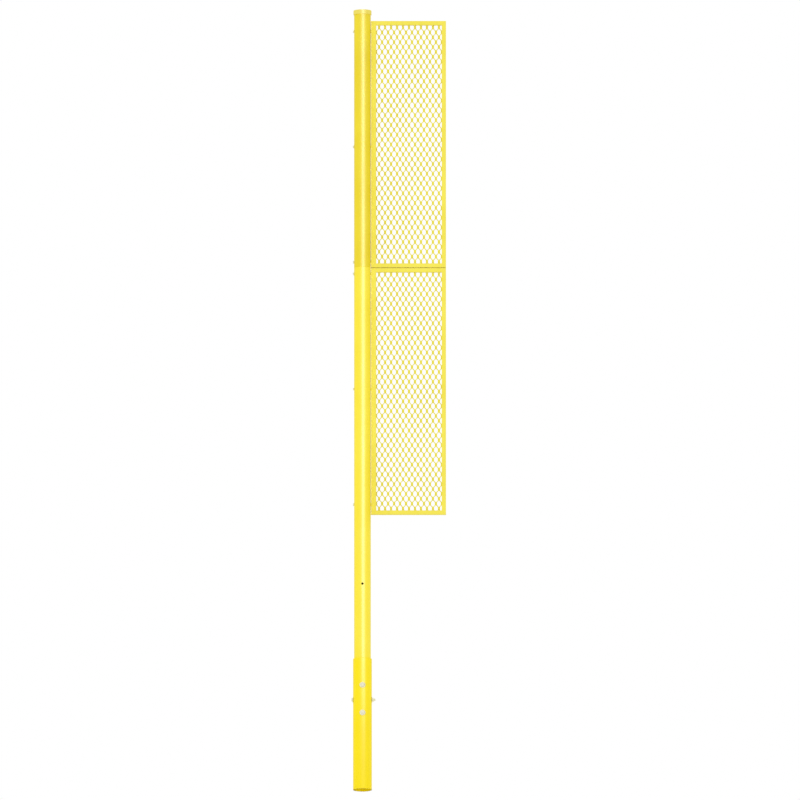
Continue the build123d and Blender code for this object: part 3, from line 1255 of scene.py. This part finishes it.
HALF_INCH = HexFastener(
    diameter=12.7,
    flats=19.05,
    head_height=8.0,
    pitch=1.954,
    washer_diameter=34.9,
    washer_thickness=2.7,
    nut_height=11.1,
    thread_length=30.0,
)
THREE_EIGHTHS = HexFastener(
    diameter=9.525,
    flats=14.3,
    head_height=6.0,
    pitch=1.5875,
    washer_diameter=20.6,
    washer_thickness=1.65,
    thread_length=25.0,
)


@dataclass
class SleeveBolts(Assembly):
    """The three cross bolts of the sleeve, with their washers and nuts."""

    sizes: HexFastener = HALF_INCH
    spins_deg: tuple[float, float, float] = (8.0, 23.0, 41.0)
    nut_spin_share: float = 1.7

    def build(self) -> None:
        """Builds every piece of the three cross bolts."""
        for (spot, axis), spin_deg in zip(SLEEVE_BOLT_AXES.items(), self.spins_deg):
            self.build_one(spot, axis, math.radians(spin_deg))

    def build_one(self, spot: str, axis: Axis, spin: float) -> None:
        """Builds one bolt with its nut and two washers.

        Args:
            spot: which of the three it is.
            axis: direction from head to nut.
            spin: turn of the head, in radians.
        """
        way, sizes = axis.vector, self.sizes
        head = frame_plane(f"sleeve_head_washer_{spot}", way)
        nut = frame_plane(f"sleeve_nut_{spot}", way)
        under_nut = frame_plane(f"sleeve_nut_washer_{spot}", way)
        tip = frame_plane(f"sleeve_bolt_{spot}", way, last=True)
        length = (tip - head).dot(way) / MM
        nut_spin = self.nut_spin_share * spin
        pieces = (
            (sizes.bolt(f"sleeve_hex_bolt_{spot}", length, spin), head, "bolt"),
            (sizes.washer(f"sleeve_head_plate_{spot}"), head, "head_washer"),
            (sizes.washer(f"sleeve_nut_plate_{spot}"), under_nut, "nut_washer"),
            (sizes.nut(f"sleeve_hex_nut_{spot}", nut_spin), nut, "nut"),
        )
        for piece, origin, kind in pieces:
            placed(piece, facing(way, origin))
            node = f"sleeve_{kind}_{spot}"
            self.workshop.dress(piece, self.finishes.zinc, "zinc", [node])


def frame_plane(node: str, way: Vector, last: bool = False) -> Vector:
    """Point on a node's axis, at its first or last end along a direction.

    Args:
        node: name of the CAD node.
        way: unit vector along X or Y.
        last: takes the far end in place of the near one.

    Returns:
        The point, in metres.
    """
    low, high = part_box(node)
    middle = (low + high) / 2
    reach = (high - low).dot(way) / 2
    return middle + way * (reach if last else -reach)


@dataclass
class WingBolts(Assembly):
    """The six wing bolts, with their washers and threaded inserts."""

    sizes: HexFastener = THREE_EIGHTHS
    spin_step_deg: float = 17.0

    def build(self) -> None:
        """Builds every piece of the six wing bolts."""
        way = Axis.ACROSS.vector
        spots = [(panel, spot) for panel in PANELS for spot in WING_SPOTS]
        for index, (panel, spot) in enumerate(spots):
            seat = frame_plane(f"{panel}_wing_washer_{spot}", way)
            tip = frame_plane(f"{panel}_wing_bolt_{spot}", way, last=True)
            length = (tip - seat).dot(way) / MM
            spin = math.radians(self.spin_step_deg * index)
            bolt = self.sizes.bolt(f"{panel}_wing_hex_bolt_{spot}", length, spin)
            plate = self.sizes.washer(f"{panel}_wing_plate_{spot}")
            for piece, kind in ((bolt, "bolt"), (plate, "washer")):
                placed(piece, facing(way, seat))
                node = f"{panel}_wing_{kind}_{spot}"
                self.workshop.dress(piece, self.finishes.zinc, "zinc", [node])
            self.workshop.coat(f"{panel}_wing_insert_{spot}", self.finishes.zinc)


# ------ studio


@dataclass
class Studio:
    """Pale floor, soft light and the camera, in metres and watts."""

    floor_radii: tuple[float, ...] = (0.5, 2.0, 20.0)
    floor_segments: int = 96
    floor_drop_mm: float = 0.5
    hole_inset_mm: float = 6.0
    camera_tilt_deg: float = 10.0
    frame_height: float = 4.956
    centre_x: float = 0.229
    centre_z: float = 2.416
    camera_distance: float = 14.0
    view_distance: float = 200.0
    daylight: float = 1.12
    surround_gloss: float = 0.6
    surround_seen: float = 1.0
    key_at: tuple[float, float, float] = (-3.2, -4.6, 1.2)
    key_size: tuple[float, float] = (3.0, 3.0)
    key_power: float = 20.0
    strip_place: tuple[float, float] = (0.3, -1.6)
    strip_heights: tuple[float, float] = (0.84, 6.2)
    strip_width: float = 0.9
    strip_power: float = 620.0
    flank_place: tuple[float, float] = (5.0, 1.5)
    flank_size: tuple[float, float] = (1.6, 5.0)
    flank_power: float = 8.0
    round_finishes: tuple[str, ...] = (
        "powder_coated_steel_tube",
        "powder_coated_steel_tube_lower_lit",
        "powder_coated_steel_pipe",
        "powder_coated_steel_cap",
    )

    def build_floor(self) -> None:
        """Sheet on the ground, just under the sleeve's end, with an opening inside the sleeve."""
        mesh = bmesh.new()
        hole = extent_of("ground_sleeve").x / 2 - self.hole_inset_mm * MM
        height = -self.floor_drop_mm * MM
        rings = [level_ring(r, height, self.floor_segments) for r in (hole, *self.floor_radii)]
        loops = [[mesh.verts.new(point) for point in ring] for ring in rings]
        for first, second in zip(loops, loops[1:]):
            bridge(mesh, first, second)
        floor = object_from("studio_floor", mesh)
        if floor.data.polygons[0].normal.z < 0:
            floor.data.flip_normals()
        floor.data.materials.append(StudioVinyl().material())
        floor.visible_glossy = False

    def build_world(self) -> None:
        """White surround that lights the object evenly and leaves gloss to the panels."""
        world = bpy.data.worlds.new("studio_surround")
        bpy.context.scene.world = world
        world.use_nodes = True
        tree = world.node_tree
        tree.nodes.clear()
        path = add_node(tree, "ShaderNodeLightPath")
        shown = self.white_light(tree, self.daylight)
        kinds = (("Is Glossy Ray", self.surround_gloss), ("Is Camera Ray", self.surround_seen))
        for ray, strength in kinds:
            mix = add_node(tree, "ShaderNodeMixShader", links={"Fac": path.outputs[ray]})
            tree.links.new(shown, mix.inputs[1])
            tree.links.new(self.white_light(tree, strength), mix.inputs[2])
            shown = mix.outputs[0]
        add_node(tree, "ShaderNodeOutputWorld", links={"Surface": shown})
        world.cycles.sampling_method = "NONE"

    def white_light(self, tree: Tree, strength: float) -> Socket:
        """White background of a given strength."""
        settings = {"Color": (1.0, 1.0, 1.0, 1.0), "Strength": strength}
        return add_node(tree, "ShaderNodeBackground", settings).outputs[0]

    def add_panel_light(
        self, name: str, place: Vector, aim: Vector, size: tuple[float, float], power: float
    ) -> Piece:
        """Adds a rectangular soft light.

        Args:
            name: name of the light.
            place: its centre.
            aim: point that it faces.
            size: its width and height.
            power: its power in watts.

        Returns:
            The light.
        """
        data = bpy.data.lights.new(name, "AREA")
        data.shape = "RECTANGLE"
        data.size, data.size_y = size
        data.energy = power
        light = bpy.data.objects.new(name, data)
        bpy.context.scene.collection.objects.link(light)
        light.location = place
        light.rotation_euler = (aim - place).to_track_quat("-Z", "Y").to_euler()
        light.visible_camera = False
        return light

    def build_lights(self) -> None:
        """Large low key from the left, and a tall strip and two flanks that only gloss shows."""
        middle = Vector((0.0, 0.0, self.centre_z))
        key_at = Vector(self.key_at)
        self.add_panel_light("key_panel", key_at, middle, self.key_size, self.key_power)
        low, high = self.strip_heights
        at = Vector((*self.strip_place, (low + high) / 2))
        ahead = at + Vector((0.0, 1.0, 0.0))
        size = (self.strip_width, high - low)
        gloss_only = [self.add_panel_light("strip_panel", at, ahead, size, self.strip_power)]
        x, y = self.flank_place
        for side, sign in (("left", -1.0), ("right", 1.0)):
            at = Vector((sign * x, y, self.centre_z))
            name = f"flank_panel_{side}"
            flank = self.add_panel_light(name, at, middle, self.flank_size, self.flank_power)
            gloss_only.append(flank)
        for light in gloss_only:
            light.visible_diffuse = False

    def aim_strip_at_tubes(self) -> None:
        """Keeps the strip on the round paint, as flat faces and zinc would burn out in it."""
        tubes = bpy.data.collections.new("round_painted_pieces")
        for piece in bpy.context.scene.objects:
            if piece.type != "MESH" or not piece.material_slots:
                continue
            finish = piece.material_slots[0].material
            if finish and finish.name in self.round_finishes:
                tubes.objects.link(piece)
        bpy.data.objects["strip_panel"].light_linking.receiver_collection = tubes

    def build_camera(self) -> None:
        """Camera square to the wing, looking a little upward, with upright lines kept upright."""
        data = bpy.data.cameras.new("camera")
        data.type = "ORTHO"
        tilt = math.radians(self.camera_tilt_deg)
        data.ortho_scale = self.frame_height * math.cos(tilt)
        data.clip_end = self.view_distance
        camera = bpy.data.objects.new("camera", data)
        bpy.context.scene.collection.objects.link(camera)
        look = Vector((0.0, math.cos(tilt), math.sin(tilt)))
        target = Vector((self.centre_x, 0.0, self.centre_z))
        camera.location = target - look * self.camera_distance
        camera.rotation_euler = Euler((math.pi / 2 + tilt, 0.0, 0.0))
        bpy.context.scene.camera = camera

    def build(self) -> None:
        """Builds the floor, the surround, the lights and the camera."""
        bpy.context.scene.view_settings.view_transform = "Standard"
        self.build_floor()
        self.build_world()
        self.build_lights()
        self.build_camera()


def main() -> None:
    """Builds the studio and every sub-assembly, and reports them."""
    logging.basicConfig(level=logging.INFO, format="%(name)s %(message)s")
    studio = Studio()
    studio.build()
    workshop = Workshop()
    assemblies = [
        PoleAndSleeve(workshop),
        *(WingPanel(workshop, panel) for panel in PANELS),
        SleeveBolts(workshop),
        WingBolts(workshop),
    ]
    for assembly in assemblies:
        assembly.build()
    studio.aim_strip_at_tubes()
    LOG.info("%d pieces dressed", workshop.count)


if __name__ == "__main__":
    main()
